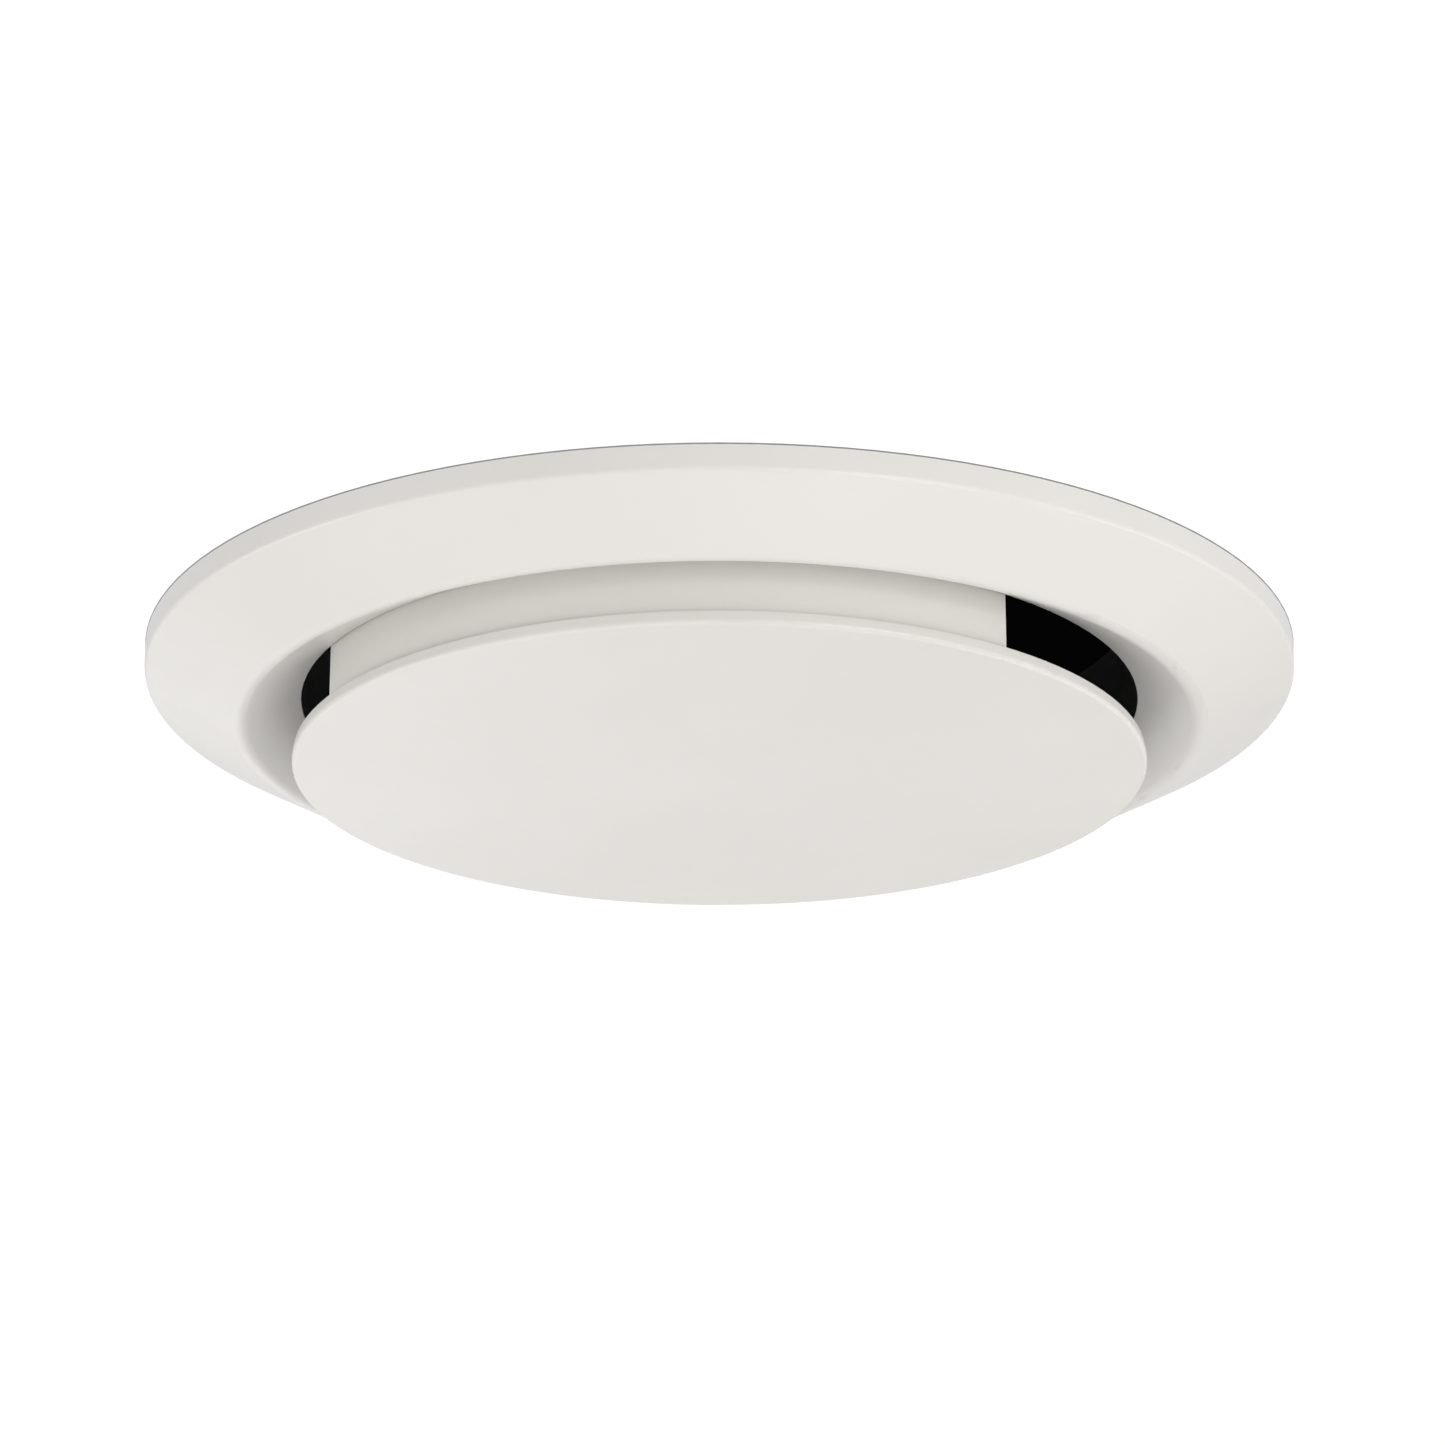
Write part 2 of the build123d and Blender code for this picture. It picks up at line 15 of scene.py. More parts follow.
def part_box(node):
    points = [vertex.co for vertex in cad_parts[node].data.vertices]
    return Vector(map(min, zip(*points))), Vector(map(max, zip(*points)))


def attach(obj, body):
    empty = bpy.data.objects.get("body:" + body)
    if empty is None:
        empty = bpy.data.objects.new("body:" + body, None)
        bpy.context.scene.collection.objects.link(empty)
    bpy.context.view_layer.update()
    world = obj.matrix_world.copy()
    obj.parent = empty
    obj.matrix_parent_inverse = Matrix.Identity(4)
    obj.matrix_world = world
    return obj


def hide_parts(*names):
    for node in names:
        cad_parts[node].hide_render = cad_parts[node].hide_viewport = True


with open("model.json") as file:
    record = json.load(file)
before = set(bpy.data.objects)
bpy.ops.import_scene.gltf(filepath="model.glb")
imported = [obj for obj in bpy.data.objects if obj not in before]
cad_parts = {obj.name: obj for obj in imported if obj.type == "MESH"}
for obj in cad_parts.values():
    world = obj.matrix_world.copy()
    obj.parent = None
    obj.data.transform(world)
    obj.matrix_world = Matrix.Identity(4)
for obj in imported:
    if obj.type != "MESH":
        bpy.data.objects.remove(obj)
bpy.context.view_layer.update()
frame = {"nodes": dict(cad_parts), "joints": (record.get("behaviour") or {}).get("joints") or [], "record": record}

MM = 0.001
SMOOTH_BELOW = radians(38)       # edges that turn by more than this stay sharp
RING_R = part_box("trim_ring")[1].x
DUCT_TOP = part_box("duct_collar")[1].z
DUCT_INNER_R = 98 * MM           # edge of the painted shade inside the duct; within the duct's wall, between its inner and outer faces

# Camera, fitted to the ring's outline
CAMERA_PLACE = (0.0, -7.772 * RING_R, -2.908 * RING_R)
CAMERA_PITCH, CAMERA_YAW = radians(109.87), radians(-0.04)
CAMERA_LENS, CAMERA_SENSOR = 117.9, 36.0
CAMERA_NEAR, CAMERA_FAR = 0.01, 50

# Ceiling, floor, and a scrim that holds back the light from above the duct
CEILING_HOLE_R, CEILING_SIZE, CEILING_STEPS = 119 * MM, 6.0, 128
CEILING_LIFT = 0.05 * MM         # clear of the rim's top face
CEILING_LIGHT = 0.72             # what it gives, whatever level it is seen at
# Levels as seen: a painted shadow line round the rim, and the ceiling's paint beyond it
PAINTED_SHADOW_LEVEL, PAINT_LEVEL = 0.26, 1.05
PAINTED_SHADOW_WIDTH = 0.7 * MM            # painted shadow: a dark line under the ceiling at the rim's near side, gone at its sides
FLOOR_SIZE, FLOOR_Z = 90.0, -1.9
SCRIM_SIZE, SCRIM_GAP, SCRIM_PASSES = 0.205, 0.01, 0.12

# Light
SKY_COLOUR, SKY_STRENGTH = (1.0, 0.998, 0.992, 1), 0.715
SOFT_BOXES = {                   # place, width and power
    "floor_box": ((0, 0, FLOOR_Z + 0.01), 9.0, 39),
    "front_low": ((0.65, -1.3, -0.40), 0.6, 5.0),
    "front_high": ((0.15, -1.60, -0.06), 0.3, 2.6),
    "left": ((-1.6, 0.1, -0.95), 1.2, 8.6),
    "right": ((1.6, -0.1, -0.95), 1.2, 7.5),
    "back_left": ((-1.0, 2.3, -0.85), 1.6, 4.8),
    "top": ((0.5, 0.4, 1.7), 1.2, 12),
}

# Gasket
GASKET_WIDTH, GASKET_CORNER = 8.3 * MM, 0.7 * MM
GASKET_SAG, GASKET_PITS, GASKET_PINCH, GASKET_DRAFT = 0.18 * MM, 0.10 * MM, 0.15 * MM, 0.1 * MM
GASKET_WAVES = 40                # noise cells in each radian round the strip
GASKET_JOINT, GASKET_GAP = radians(200), 0.35 * MM
GASKET_STEPS = 360
FACE_SLOPE = 0.541               # rise of the ring's face per unit of radius

# Duct seal
SEAL_WALL, SEAL_REACH = 3.2 * MM, 1.5 * MM              # from the lips' tips in to its back and to its band
LIP_STARTS = (1.0 * MM, 3.6 * MM)
LIP_DROP, LIP_TIP, LIP_ROOT = 0.2 * MM, 0.4 * MM, 1.4 * MM
SEAL_CORNER = 0.14 * MM
SEAL_STEPS = 240

# Spindle
SPINDLE_R, SPINDLE_SIDES = 5 * MM, 64
THREAD_PITCH, THREAD_DEPTH = 2.0 * MM, 1.0 * MM
THREAD_ROOT, THREAD_FLANK = 0.30, 0.20                  # shares of the pitch
THREAD_STEP, THREAD_RUN_OUT = 0.2 * MM, 0.4 * MM
HEAD_HEIGHT, HEAD_CHAMFER, HEAD_END = 3 * MM, 0.3 * MM, 0.97
CORNER_SHARE = 1.33              # a square head's turned corners, as a share of its half width
TIP_CHAMFER = 0.8 * MM

# Clip springs, as in the frame
COIL_R, WIRE_R, COIL_REACH = 4.1 * MM, 0.6 * MM, 3.0 * MM
COIL_FROM, COIL_TO = radians(-45), radians(240 + 4 * 360)
COIL_STEPS, WIRE_SIDES = 144, 16
LEG_LENGTH, LEG_STEPS = 22 * MM, 10
FOOT_LENGTH, FOOT_STEPS = 10 * MM, 6

# Clip sleeves, in mm, along the arm from its pivot and above the pivot
CLIP_SLOPE = radians(30)
SLEEVE_FROM, SLEEVE_TO = 35.0, 47.6
SLEEVE_TOP, SLEEVE_UNDER, SLEEVE_HALF = -3.15, -7.55, 12.2
SLEEVE_CORNER, SLEEVE_EDGE = 0.3, 1.4
MOUTH_TOP, MOUTH_UNDER, TIP_EDGE = 1.0, 0.5, 1.6
TIP_CORNER = 5.0
SIDE_THICKNESS = 0.35            # share of the full thickness that is left at its sides
RIB_PITCH, RIB_DEPTH, RIB_FLOOR, RIB_CORNER = 2.0, 0.6, 0.7, 0.15
RIB_SLOPE, RIB_MARGIN = 0.3, 1.5
SLEEVE_STATIONS = 24


# Node materials
class Surface:
    """A material whose nodes read object coordinates, so that its grain has a real size."""

    def __init__(self, name, roughness, metallic=0.0, specular=0.5):
        self.material = bpy.data.materials.new(name)
        self.material.use_nodes = True
        self.tree = self.material.node_tree
        self.shader = self.tree.nodes["Principled BSDF"]
        self.shader.inputs["Metallic"].default_value = metallic
        self.shader.inputs["Specular IOR Level"].default_value = specular
        self.shader.inputs["Roughness"].default_value = roughness
        self.place = self.add("ShaderNodeTexCoord").outputs["Object"]
        self.normal = None

    def give(self, socket, value):
        """Links a socket to another one, or sets its value."""
        if isinstance(value, bpy.types.NodeSocket):
            self.tree.links.new(value, socket)
        else:
            socket.default_value = value

    def add(self, kind, **values):
        """A node with its named inputs given."""
        node = self.tree.nodes.new(kind)
        for label, value in values.items():
            self.give(node.inputs[label.replace("_", " ")], value)
        return node

    def worked(self, kind, operation, output, *values):
        """The output of an arithmetic node."""
        node = self.tree.nodes.new(kind)
        node.operation = operation
        for socket, value in zip(node.inputs, values):
            self.give(socket, value)
        return node.outputs[output]

    def number(self, operation, *values):
        """Arithmetic on numbers."""
        return self.worked("ShaderNodeMath", operation, "Value", *values)

    def vector(self, operation, *values, output="Vector"):
        """Arithmetic on vectors."""
        return self.worked("ShaderNodeVectorMath", operation, output, *values)

    def grain(self, size, detail=3.0, stretch=(1, 1, 1), distortion=0.0):
        """Soft noise with features of about this size, longer along the axes with a stretch above 1."""
        scaled = self.vector("DIVIDE", self.place, stretch)
        return self.add("ShaderNodeTexNoise", Vector=scaled, Scale=1 / size, Detail=detail,
                        Distortion=distortion).outputs[0]

    def cells(self, size):
        """Distance to the middle of the nearest of many small cells."""
        return self.add("ShaderNodeTexVoronoi", Vector=self.place, Scale=1 / size).outputs["Distance"]

    def ramp(self, factor, low, high, start=0.3, stop=0.7):
        """Carries a factor between two levels to a value between two numbers."""
        return self.add("ShaderNodeMapRange", Value=factor, From_Min=start, From_Max=stop, To_Min=low,
                        To_Max=high).outputs["Result"]

    def tones(self, factor, low, high, start=0.3, stop=0.7):
        """Colours the surface between two tones."""
        node = self.add("ShaderNodeValToRGB", Fac=factor)
        first, last = node.color_ramp.elements
        first.position, first.color = start, (*low, 1)
        last.position, last.color = stop, (*high, 1)
        return node.outputs["Color"]

    def mixed(self, factor, first, second):
        """Two colours mixed by a factor."""
        node = self.tree.nodes.new("ShaderNodeMix")
        node.data_type = "RGBA"
        for place, value in ((0, factor), (6, first), (7, second)):
            self.give(node.inputs[place], value)
        return node.outputs[2]

    def bump(self, height, depth):
        """Adds relief of a real depth on top of what is there."""
        node = self.add("ShaderNodeBump", Height=height, Distance=depth, Strength=1.0)
        if self.normal:
            self.tree.links.new(self.normal, node.inputs["Normal"])
        self.normal = node.outputs["Normal"]

    def worn(self, reach, sharpness=0.06):
        """1 on the edges within reach, and 0 elsewhere."""
        rounded_normal = self.add("ShaderNodeBevel", Radius=reach).outputs["Normal"]
        own_normal = self.add("ShaderNodeNewGeometry").outputs["Normal"]
        likeness = self.vector("DOT_PRODUCT", rounded_normal, own_normal, output="Value")
        return self.ramp(likeness, 1.0, 0.0, 1 - sharpness, 1.0)

    def done(self, colour, roughness):
        """Links the colour, roughness and relief to the shader."""
        self.tree.links.new(colour, self.shader.inputs["Base Color"])
        self.tree.links.new(roughness, self.shader.inputs["Roughness"])
        if self.normal:
            self.tree.links.new(self.normal, self.shader.inputs["Normal"])
        return self.material


def white_plastic():
    """Satin moulded ABS: a faint cloudiness, fine spark texture and slow waviness from the mould."""
    surface = Surface("white_abs", 0.32)
    cloud = surface.grain(60 * MM, 2.0)
    polish = surface.grain(9 * MM, 4.0)
    surface.bump(surface.grain(40 * MM, 1.0), 0.008 * MM)
    surface.bump(surface.grain(0.35 * MM, 2.0), 0.0008 * MM)
    colour = surface.tones(cloud, (0.699, 0.680, 0.652), (0.721, 0.702, 0.674))
    return surface.done(colour, surface.ramp(polish, 0.29, 0.36))


def black_plastic():
    """Black polypropylene with an eroded mould texture and a little dust lying in patches."""
    surface = Surface("black_pp", 0.5, specular=0.22)
    texture = surface.grain(0.5 * MM, 4.0)
    dust = surface.grain(14 * MM, 6.0, distortion=0.6)
    surface.bump(texture, 0.03 * MM)
    colour = surface.tones(dust, (0.0300, 0.0300, 0.0306), (0.0440, 0.0440, 0.0450))
    return surface.done(colour, surface.ramp(texture, 0.43, 0.59))


def duct_black():
    """Matt black moulding with painted shade: darkest within the duct's bore, a paler black beyond it, and paler
    on upward faces, where dust lies and painted top light falls.
    """
    surface = Surface("black_matt", 0.62, specular=0.10)
    texture = surface.grain(0.5 * MM, 4.0)
    surface.bump(texture, 0.03 * MM)
    level = surface.vector("MULTIPLY", surface.place, (1, 1, 0))
    radius = surface.vector("LENGTH", level, output="Value")
    # Painted shade: everything within the duct's bore is painted darker, as the shade inside the duct.
    clear_of_painted_shade = surface.ramp(radius, 0.0, 1.0, DUCT_INNER_R, DUCT_INNER_R + 1 * MM)
    own_normal = surface.add("ShaderNodeNewGeometry").outputs["Normal"]
    upward = surface.add("ShaderNodeSeparateXYZ", Vector=own_normal).outputs["Z"]
    # Partly dust, partly painted top light: faces that look upward are painted paler.
    upward_dust_and_top_light = surface.ramp(upward, 0.0, 1.0, 0.4, 0.9)
    patches = surface.ramp(surface.grain(9 * MM, 6.0, distortion=0.8), 0.35, 1.0)
    # This dust mark also carries the painted top light on upward faces.
    dust = surface.number("MULTIPLY", upward_dust_and_top_light, patches)
    paler_than_painted_shade = surface.number("MAXIMUM", clear_of_painted_shade, dust)
    # The darkest tone is the painted shade inside the duct; the paler one is the plain black.
    colour = surface.tones(paler_than_painted_shade, (0.0010, 0.0010, 0.0010), (0.0120, 0.0120, 0.0124), 0.0, 1.0)
    return surface.done(colour, surface.ramp(texture, 0.55, 0.75))


def foam():
    """Closed-cell foam: small cell hollows with painted shade in their bottoms, and blotches where the cells are
    larger.
    """
    surface = Surface("foam", 0.9, specular=0.2)
    pit_depth_and_painted_shade = surface.cells(0.7 * MM)
    surface.bump(pit_depth_and_painted_shade, 0.25 * MM)
    surface.bump(surface.grain(3 * MM, 3.0), 0.1 * MM)
    # Painted shade: the bottoms of the pits are painted darker.
    colour = surface.tones(pit_depth_and_painted_shade, (0.020, 0.020, 0.021), (0.075, 0.075, 0.078), 0.05, 0.6)
    return surface.done(colour, surface.ramp(surface.grain(4 * MM), 0.82, 0.95))


def rubber(name, low, high):
    """Moulded rubber with a bloom that lies unevenly on it."""
    surface = Surface(name, 0.7, specular=0.35)
    bloom = surface.grain(5 * MM, 6.0, distortion=0.8)
    surface.bump(surface.grain(0.4 * MM, 3.0), 0.015 * MM)
    return surface.done(surface.tones(bloom, low, high), surface.ramp(bloom, 0.58, 0.8))


def plated(name, low, high, brush, wear=(0.83, 0.83, 0.84)):
    """Zinc-plated or bare steel: drawn lines, passivated blotches and brighter rubbed edges."""
    surface = Surface(name, 0.38, metallic=1.0)
    lines = surface.grain(0.5 * MM, 2.0, stretch=brush)
    blotch = surface.grain(3.5 * MM, 5.0, distortion=1.2)
    surface.bump(lines, 0.006 * MM)
    fresh = surface.tones(blotch, low, high, 0.32, 0.68)
    colour = surface.mixed(surface.worn(0.35 * MM), fresh, (*wear, 1))
    return surface.done(colour, surface.ramp(lines, 0.29, 0.50))


def brass():
    """Turned brass with fine rings round its axis."""
    surface = Surface("brass_insert", 0.3, metallic=1.0)
    wave = surface.add("ShaderNodeTexWave", Vector=surface.place, Scale=900.0, Distortion=0.6)
    wave.wave_type = "RINGS"
    wave.rings_direction = "Z"
    rings = wave.outputs["Fac"]
    surface.bump(rings, 0.01 * MM)
    colour = surface.tones(surface.grain(4 * MM, 5.0), (0.55, 0.40, 0.16), (0.78, 0.60, 0.28))
    return surface.done(colour, surface.ramp(rings, 0.29, 0.42, 0.0, 1.0))


def make_materials():
    """One material per slot of the record."""
    return {
        "white_abs": white_plastic(),
        "black_pp": black_plastic(),
        "black_matt": duct_black(),
        "foam": foam(),
        "seal_rubber": rubber("seal_rubber", (0.022, 0.022, 0.023), (0.040, 0.040, 0.042)),
        "sleeve_rubber": rubber("sleeve_rubber", (0.030, 0.030, 0.031), (0.052, 0.052, 0.055)),
        "zinc_sheet": plated("zinc_sheet", (0.52, 0.53, 0.55), (0.70, 0.71, 0.72), brush=(1, 1, 9)),
        "zinc_steel": plated("zinc_steel", (0.50, 0.51, 0.53), (0.68, 0.69, 0.70), brush=(1, 1, 3)),
        "spring_steel": plated("spring_steel", (0.30, 0.30, 0.31), (0.46, 0.46, 0.47), brush=(3, 3, 1),
                               wear=(0.62, 0.62, 0.63)),
        "brass_insert": brass(),
    }


# Mesh pieces
def add_object(name, data):
    """A new object in the scene."""
    item = bpy.data.objects.new(name, data)
    bpy.context.scene.collection.objects.link(item)
    return item


def loft(name, rings, loop=False):
    """A closed skin through equal rings of points, with its ends joined up or capped."""
    size = len(rings[0])
    pairs = list(zip(range(len(rings)), range(1, len(rings))))
    if loop:
        pairs.append((len(rings) - 1, 0))
    faces = [
        (a * size + i, a * size + (i + 1) % size, b * size + (i + 1) % size, b * size + i)
        for a, b in pairs for i in range(size)
    ]
    if not loop:
        last = (len(rings) - 1) * size
        faces += [tuple(range(size))[::-1], tuple(range(last, last + size))]
    mesh = bpy.data.meshes.new(name)
    mesh.from_pydata([tuple(point) for ring in rings for point in ring], [], faces)
    mesh.shade_smooth()
    mesh.set_sharp_from_angle(angle=SMOOTH_BELOW)
    mesh.update()
    face_outward(mesh)
    return add_object(name, mesh)


def face_outward(mesh):
    """Turns the faces of a closed mesh outwards."""
    work = bmesh.new()
    work.from_mesh(mesh)
    bmesh.ops.recalc_face_normals(work, faces=work.faces)
    work.to_mesh(mesh)
    work.free()


def wire(name, path, radius):
    """A round wire along a path of points."""
    rings = []
    turns = [2 * pi * j / WIRE_SIDES for j in range(WIRE_SIDES)]
    side = (path[1] - path[0]).orthogonal()
    for i, point in enumerate(path):
        ahead = (path[min(i + 1, len(path) - 1)] - path[max(i - 1, 0)]).normalized()
        side = (side - ahead * ahead.dot(side)).normalized()
        other = ahead.cross(side)
        rings.append([point + radius * (cos(turn) * side + sin(turn) * other) for turn in turns])
    return loft(name, rings)


def swept_round(name, section, azimuths, loop):
    """A section of (radius, height) points carried round Z; it may change with the azimuth."""
    rings = []
    for azimuth in azimuths:
        outline = section(azimuth)
        rings.append([(r * cos(azimuth), r * sin(azimuth), z) for r, z in outline])
    return loft(name, rings, loop)


def rounded(corners, radius, steps=4):
    """An outline with its corners rounded; a corner is (a, b) or (a, b, own radius)."""
    points = []
    count = len(corners)
    for i, corner in enumerate(corners):
        here = Vector(corner[:2])
        own = corner[2] if len(corner) > 2 else radius
        before = (Vector(corners[i - 1][:2]) - here).normalized() * own
        after = (Vector(corners[(i + 1) % count][:2]) - here).normalized() * own
        for step in range(steps + 1):
            t = step / steps
            points.append(here + before * (1 - t) ** 2 + after * t ** 2)
    return points


def finish_piece(piece, body, slot, materials, *nodes):
    """Gives a new piece its material, its body and the CAD nodes that it stands for."""
    piece.data.materials.append(materials[slot])
    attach(piece, body)
    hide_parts(*nodes)


def make_gasket(materials):
    """Foam strip behind the ring's face, cut to length, with a butt joint."""
    low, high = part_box("ceiling_gasket")
    outer = high.x
    inner = outer - GASKET_WIDTH
    lift = FACE_SLOPE * GASKET_WIDTH

    def section(azimuth):
        around = Vector((cos(azimuth), sin(azimuth), 0)) * GASKET_WAVES
        sag = GASKET_SAG * noise.noise(around) ** 2 + GASKET_PITS * abs(noise.noise(around * 4))
        edge = inner - GASKET_PINCH * noise.noise(around * 1.5)
        top = high.z - sag
        corners = [(edge, low.z), (outer, low.z + lift), (outer - GASKET_DRAFT, top), (edge, top)]
        return rounded(corners, GASKET_CORNER)

    gap = GASKET_GAP / inner
    azimuths = [GASKET_JOINT + gap + (2 * pi - 2 * gap) * i / GASKET_STEPS for i in range(GASKET_STEPS + 1)]
    piece = swept_round("gasket_foam", section, azimuths, loop=False)
    finish_piece(piece, "housing", "foam", materials, "ceiling_gasket")


def make_seal(materials):
    """Rubber duct seal: a flat band with two thin lips that lean back from the duct's end."""
    low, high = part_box("duct_seal")
    reach = high.x
    back = reach - SEAL_WALL
    band = reach - SEAL_REACH
    corners = [(back, low.z), (band, low.z)]
    for start in (low.z + height for height in LIP_STARTS):
        corners += [(band, start), (reach, start - LIP_DROP)]
        corners += [(reach, start + LIP_TIP), (band, start + LIP_ROOT)]
    corners += [(band, high.z), (back, high.z)]
    outline = rounded(corners, SEAL_CORNER, steps=2)
    azimuths = [2 * pi * i / SEAL_STEPS for i in range(SEAL_STEPS)]
    piece = swept_round("seal_lips", lambda azimuth: outline, azimuths, loop=True)
    finish_piece(piece, "housing", "seal_rubber", materials, "duct_seal")


def thread_radius(turn):
    """Radius of a trapezoidal thread at a fraction of its pitch."""
    climb = min(turn / THREAD_FLANK, (1 - THREAD_ROOT - turn) / THREAD_FLANK, 1.0)
    return SPINDLE_R - THREAD_DEPTH * (1 - max(climb, 0.0))


def make_spindle(materials):
    """Threaded rod with a square head, a bare length in the hub and a groove for its stop clip."""
    low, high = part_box("spindle")
    groove_low, groove_high = (corner.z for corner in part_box("stop_clip"))
    head_top = low.z + HEAD_HEIGHT
    thread_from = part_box("spindle_washer")[0].z - 1 * MM
    half = high.x
    angles = [2 * pi * i / SPINDLE_SIDES for i in range(SPINDLE_SIDES)]
    reaches = [min(half / max(abs(cos(a)), abs(sin(a))), CORNER_SHARE * half) for a in angles]

    def radius(angle, z):
        if z < thread_from:
            return SPINDLE_R
        if groove_low - THREAD_RUN_OUT < z < groove_high + THREAD_RUN_OUT:
            return SPINDLE_R - THREAD_DEPTH
        turn = ((z - thread_from) / THREAD_PITCH - angle / (2 * pi)) % 1.0
        return min(thread_radius(turn), SPINDLE_R - TIP_CHAMFER + max(high.z - z, 0.0))

    rings = []
    for z, share in ((low.z, HEAD_END), (low.z + HEAD_CHAMFER, 1.0), (head_top - HEAD_CHAMFER, 1.0),
                     (head_top, HEAD_END)):
        rings.append([(share * r * cos(a), share * r * sin(a), z) for a, r in zip(angles, reaches)])
    count = round((high.z - thread_from) / THREAD_STEP)
    levels = [head_top + 0.01 * MM, thread_from - 0.5 * MM]
    levels += [thread_from + (high.z - thread_from) * i / count for i in range(count + 1)]
    for z in levels:
        rings.append([(radius(a, z) * cos(a), radius(a, z) * sin(a), z) for a in angles])
    piece = loft("spindle_thread", rings)
    finish_piece(piece, "disc", "zinc_steel", materials, "spindle")


def clip_frame(joint):
    """Placement of a clip's pivot: X points outwards, Z up."""
    pivot, axis = Vector(joint["pos_m"]), Vector(joint["axis"])
    across = -axis
    up = Vector((0, 0, 1))
    outward = across.cross(up)
    turn = Matrix((outward, across, up)).transposed()
    return Matrix.Translation(pivot) @ turn.to_4x4()


def make_spring(letter, place, materials):
    """Torsion spring: a helix with its foot on the bracket, and a leg that goes with the arm."""

    def on_coil(t):
        angle = COIL_FROM + (COIL_TO - COIL_FROM) * t
        return Vector((COIL_R * cos(angle), COIL_REACH * (2 * t - 1), COIL_R * sin(angle)))

    def heading(angle):
        return Vector((-sin(angle), 0, cos(angle)))

    start, end = on_coil(0), on_coil(1)
    coil = [start - heading(COIL_FROM) * FOOT_LENGTH * (1 - i / FOOT_STEPS) for i in range(FOOT_STEPS)]
    coil += [on_coil(i / COIL_STEPS) for i in range(COIL_STEPS + 1)]
    leg = [end + heading(COIL_TO) * LEG_LENGTH * i / LEG_STEPS for i in range(-1, LEG_STEPS + 1)]
    for name, path, body in (("spring_coil", coil, "housing"), ("spring_leg", leg, f"clip_{letter}")):
        piece = wire(f"{name}_{letter}", [place @ point for point in path], WIRE_R)
        finish_piece(piece, body, "spring_steel", materials, f"clip_spring_{letter}")


def sleeve_outline():
    """Side view of a sleeve, in mm, with grip ribs under it."""
    corners = [(SLEEVE_FROM, SLEEVE_TOP, MOUTH_TOP), (SLEEVE_FROM, SLEEVE_UNDER, MOUTH_UNDER)]
    start = SLEEVE_FROM + RIB_MARGIN
    while start + RIB_PITCH < SLEEVE_TO - RIB_MARGIN:
        for ahead, depth in ((0, 0), (RIB_SLOPE, RIB_DEPTH), (RIB_SLOPE + RIB_FLOOR, RIB_DEPTH),
                             (2 * RIB_SLOPE + RIB_FLOOR, 0)):
            corners.append((start + ahead, SLEEVE_UNDER + depth, RIB_CORNER))
        start += RIB_PITCH
    corners += [(SLEEVE_TO, SLEEVE_UNDER, TIP_EDGE), (SLEEVE_TO, SLEEVE_TOP, TIP_EDGE)]
    return rounded(corners, SLEEVE_CORNER)


def make_sleeve(letter, place, materials):
    """Dipped rubber sleeve on the arm's tip, thinner at its sides and round at its corners."""
    slope = place @ Matrix.Rotation(CLIP_SLOPE, 4, "Y")
    outline = sleeve_outline()
    middle = (SLEEVE_TOP + SLEEVE_UNDER) / 2
    rings = []
    for i in range(SLEEVE_STATIONS + 1):
        across = SLEEVE_HALF * sin(pi * (i / SLEEVE_STATIONS - 0.5))
        inset = SLEEVE_HALF - abs(across)
        cut = TIP_CORNER - (TIP_CORNER ** 2 - (TIP_CORNER - min(inset, TIP_CORNER)) ** 2) ** 0.5
        swell = (1 - (1 - min(inset / SLEEVE_EDGE, 1.0)) ** 2) ** 0.5
        thickness = SIDE_THICKNESS + (1 - SIDE_THICKNESS) * swell
        ring = []
        for along, height in outline:
            pull = cut * (along - SLEEVE_FROM) / (SLEEVE_TO - SLEEVE_FROM)
            point = Vector((along - pull, across, middle + (height - middle) * thickness))
            ring.append(slope @ (point * MM))
        rings.append(ring)
    piece = loft(f"sleeve_grip_{letter}", rings)
    finish_piece(piece, f"clip_{letter}", "sleeve_rubber", materials, f"clip_sleeve_{letter}")


# Scene
def dress_frame(materials):
    """Gives each CAD node the material of its slot."""
    slots = {part["node"]: part["material_slot"] for part in frame["record"]["subparts"]}
    for name, node in frame["nodes"].items():
        for place in node.material_slots:
            place.material = materials[slots[name]]


def add_camera():
    """The camera below and in front of the object, looking up at it."""
    lens = bpy.data.cameras.new("camera")
    lens.lens, lens.sensor_width = CAMERA_LENS, CAMERA_SENSOR
    lens.clip_start, lens.clip_end = CAMERA_NEAR, CAMERA_FAR
    camera = add_object("camera", lens)
    camera.location = CAMERA_PLACE
    camera.rotation_euler = (CAMERA_PITCH, 0, CAMERA_YAW)
    bpy.context.scene.camera = camera


def add_soft_box(name, place, width, power):
    """A square soft box that looks at the object and isn't seen itself."""
    lamp = bpy.data.lights.new(name, "AREA")
    lamp.shape, lamp.size, lamp.energy = "SQUARE", width, power
    box = add_object(name, lamp)
    box.location = place
    box.rotation_euler = (-Vector(place)).to_track_quat("-Z", "Y").to_euler()
    box.visible_camera = False


def add_sky():
    """An even, very slightly warm sky."""
    world = bpy.data.worlds.new("sky")
    world.use_nodes = True
    sky = world.node_tree.nodes["Background"]
    sky.inputs["Color"].default_value = SKY_COLOUR
    sky.inputs["Strength"].default_value = SKY_STRENGTH
    bpy.context.scene.world = world


def level_square(name, size, height, material):
    """A level square of the stage, centred over the origin."""
    half = size / 2
    corners = [(x * half, y * half, height) for x, y in ((-1, -1), (1, -1), (1, 1), (-1, 1))]
    mesh = bpy.data.meshes.new(name)
    mesh.from_pydata(corners, [], [(0, 1, 2, 3)])
    mesh.materials.append(material)
    square = add_object(name, mesh)
    return square


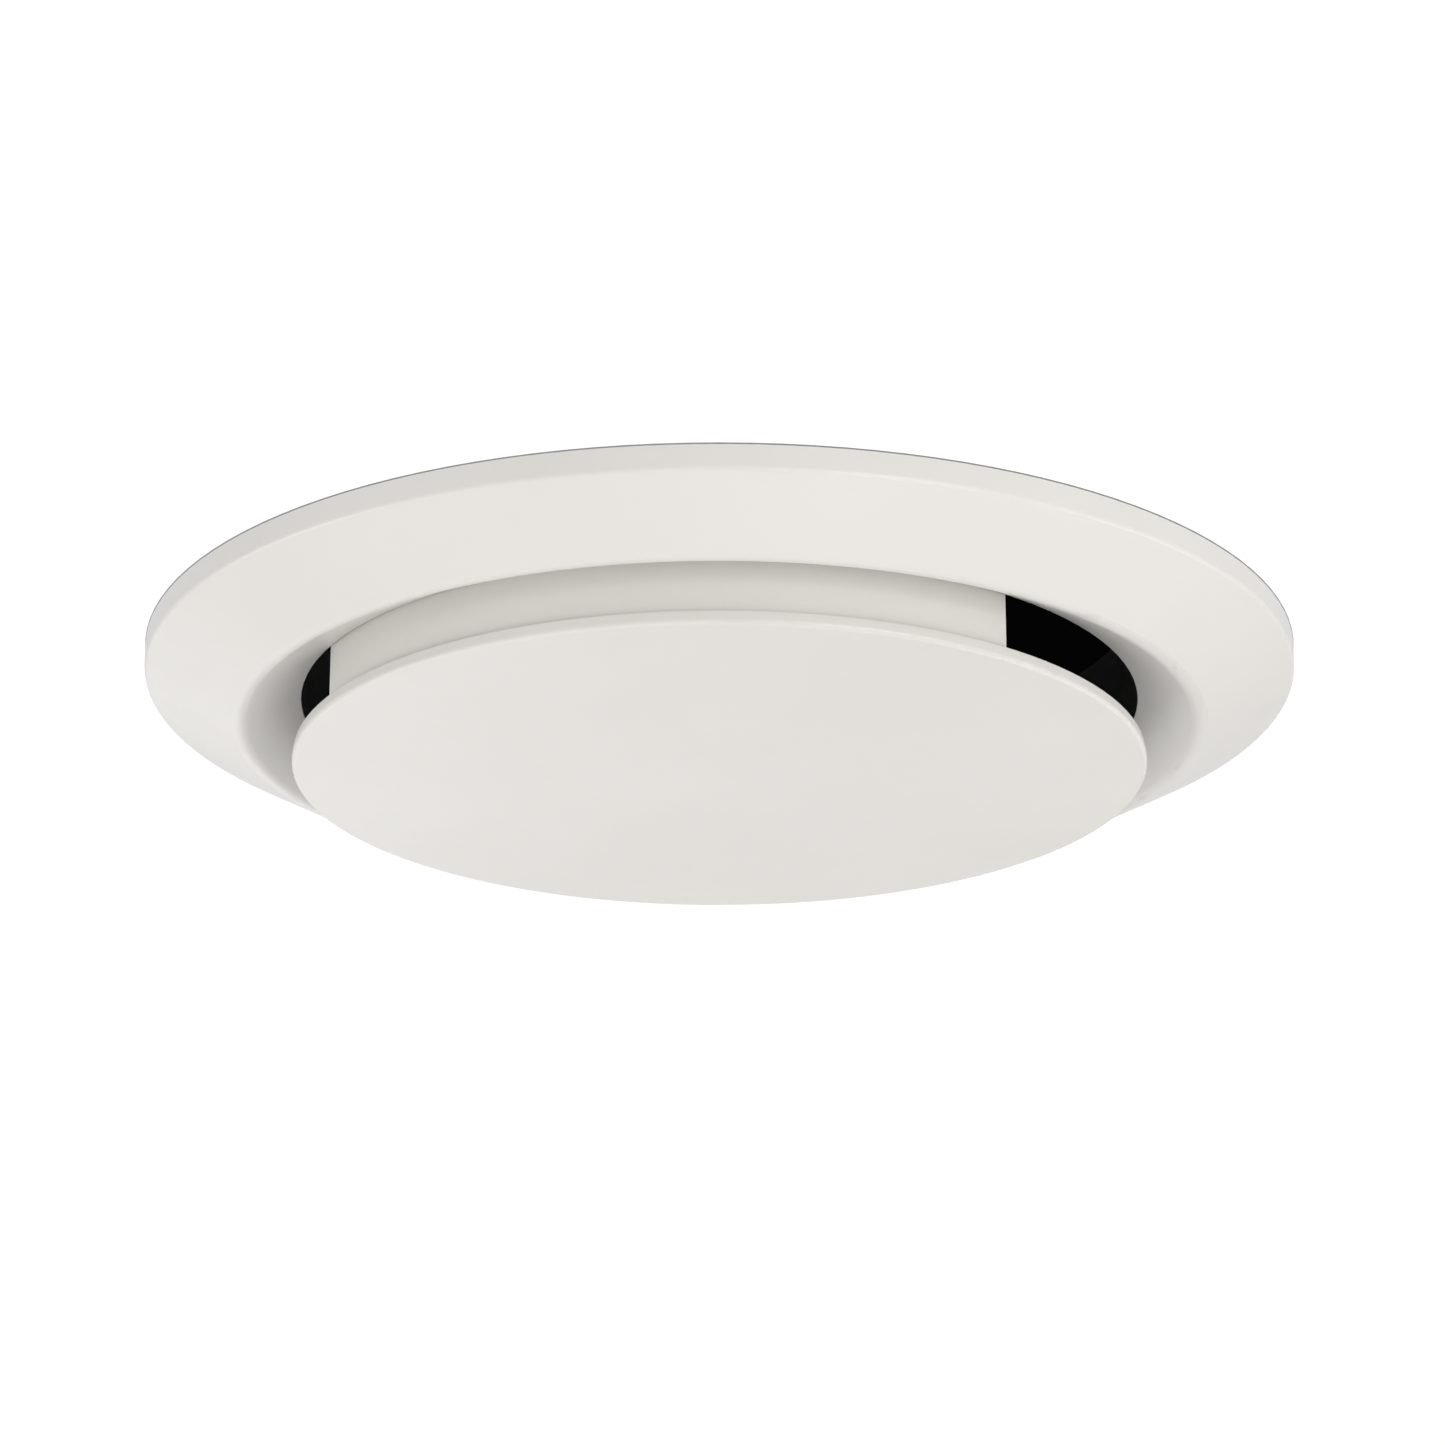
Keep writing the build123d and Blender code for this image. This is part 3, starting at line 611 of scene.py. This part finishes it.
def add_floor():
    """A plain pale floor well below the ceiling."""
    surface = Surface("floor_paint", 0.8, specular=0.2)
    colour = surface.tones(surface.grain(0.5, 3.0), (0.84, 0.838, 0.83), (0.86, 0.858, 0.85))
    surface.tree.links.new(colour, surface.shader.inputs["Base Color"])
    level_square("floor", FLOOR_SIZE, FLOOR_Z, surface.material)


def bare_material(name):
    """A material with only its output, its node tree, and the socket that its surface goes into."""
    material = bpy.data.materials.new(name)
    material.use_nodes = True
    tree = material.node_tree
    tree.nodes.clear()
    output = tree.nodes.new("ShaderNodeOutputMaterial")
    return material, tree, output.inputs["Surface"]


def add_scrim():
    """A scrim over the duct, not seen itself, that holds back the light from above."""
    cloth, tree, surface = bare_material("scrim_cloth")
    clear = tree.nodes.new("ShaderNodeBsdfTransparent")
    clear.inputs["Color"].default_value = (SCRIM_PASSES, SCRIM_PASSES, SCRIM_PASSES, 1)
    tree.links.new(clear.outputs[0], surface)
    scrim = level_square("scrim", SCRIM_SIZE, DUCT_TOP + SCRIM_GAP, cloth)
    scrim.visible_camera = False


def glow_from_below(name, level):
    """A lower side seen at an even level, which gives as much light as the sky, and a clear upper side."""
    material, tree, surface = bare_material(name)
    nodes, links = tree.nodes, tree.links
    glow = nodes.new("ShaderNodeEmission")
    glow.inputs["Color"].default_value = (1, 1, 1, 1)
    seen = nodes.new("ShaderNodeLightPath")
    strength = nodes.new("ShaderNodeMapRange")
    strength.inputs["To Min"].default_value = CEILING_LIGHT
    strength.inputs["To Max"].default_value = level
    links.new(seen.outputs["Is Camera Ray"], strength.inputs["Value"])
    links.new(strength.outputs["Result"], glow.inputs["Strength"])
    clear = nodes.new("ShaderNodeBsdfTransparent")
    side = nodes.new("ShaderNodeNewGeometry")
    mix = nodes.new("ShaderNodeMixShader")
    links.new(side.outputs["Backfacing"], mix.inputs[0])
    links.new(glow.outputs[0], mix.inputs[1])
    links.new(clear.outputs[0], mix.inputs[2])
    links.new(mix.outputs[0], surface)
    return material


def add_ceiling():
    """A bright ceiling with the round cut-out: a painted shadow ring out to the rim, and paint beyond it."""
    count = CEILING_STEPS
    points = []
    for radius, shift in ((CEILING_HOLE_R, 0.0), (RING_R, PAINTED_SHADOW_WIDTH), (CEILING_SIZE / 2, 0.0)):
        turns = [2 * pi * i / count for i in range(count)]
        points += [(radius * cos(turn), radius * sin(turn) - shift, CEILING_LIFT) for turn in turns]
    faces = [(inner + i, inner + (i + 1) % count, inner + count + (i + 1) % count, inner + count + i)
             for inner in (0, count) for i in range(count)]
    mesh = bpy.data.meshes.new("ceiling")
    mesh.from_pydata(points, [], faces)
    # The inner ring of faces is a painted shadow round the rim.
    mesh.materials.append(glow_from_below("ceiling_painted_shadow", PAINTED_SHADOW_LEVEL))
    mesh.materials.append(glow_from_below("ceiling_paint", PAINT_LEVEL))
    for face in mesh.polygons:
        face.material_index = 0 if face.index < count else 1
    add_object("ceiling", mesh)


add_camera()
add_sky()
for box_name, (box_place, box_width, box_power) in SOFT_BOXES.items():
    add_soft_box(box_name, box_place, box_width, box_power)
add_floor()
add_ceiling()
add_scrim()

finishes = make_materials()
dress_frame(finishes)
make_gasket(finishes)
make_seal(finishes)
make_spindle(finishes)
for fold in frame["joints"]:
    if fold["name"].startswith("clip_"):
        clip_letter = fold["name"].split("_")[1]
        clip_place = clip_frame(fold)
        make_spring(clip_letter, clip_place, finishes)
        make_sleeve(clip_letter, clip_place, finishes)

bpy.context.scene.view_settings.view_transform = "Standard"
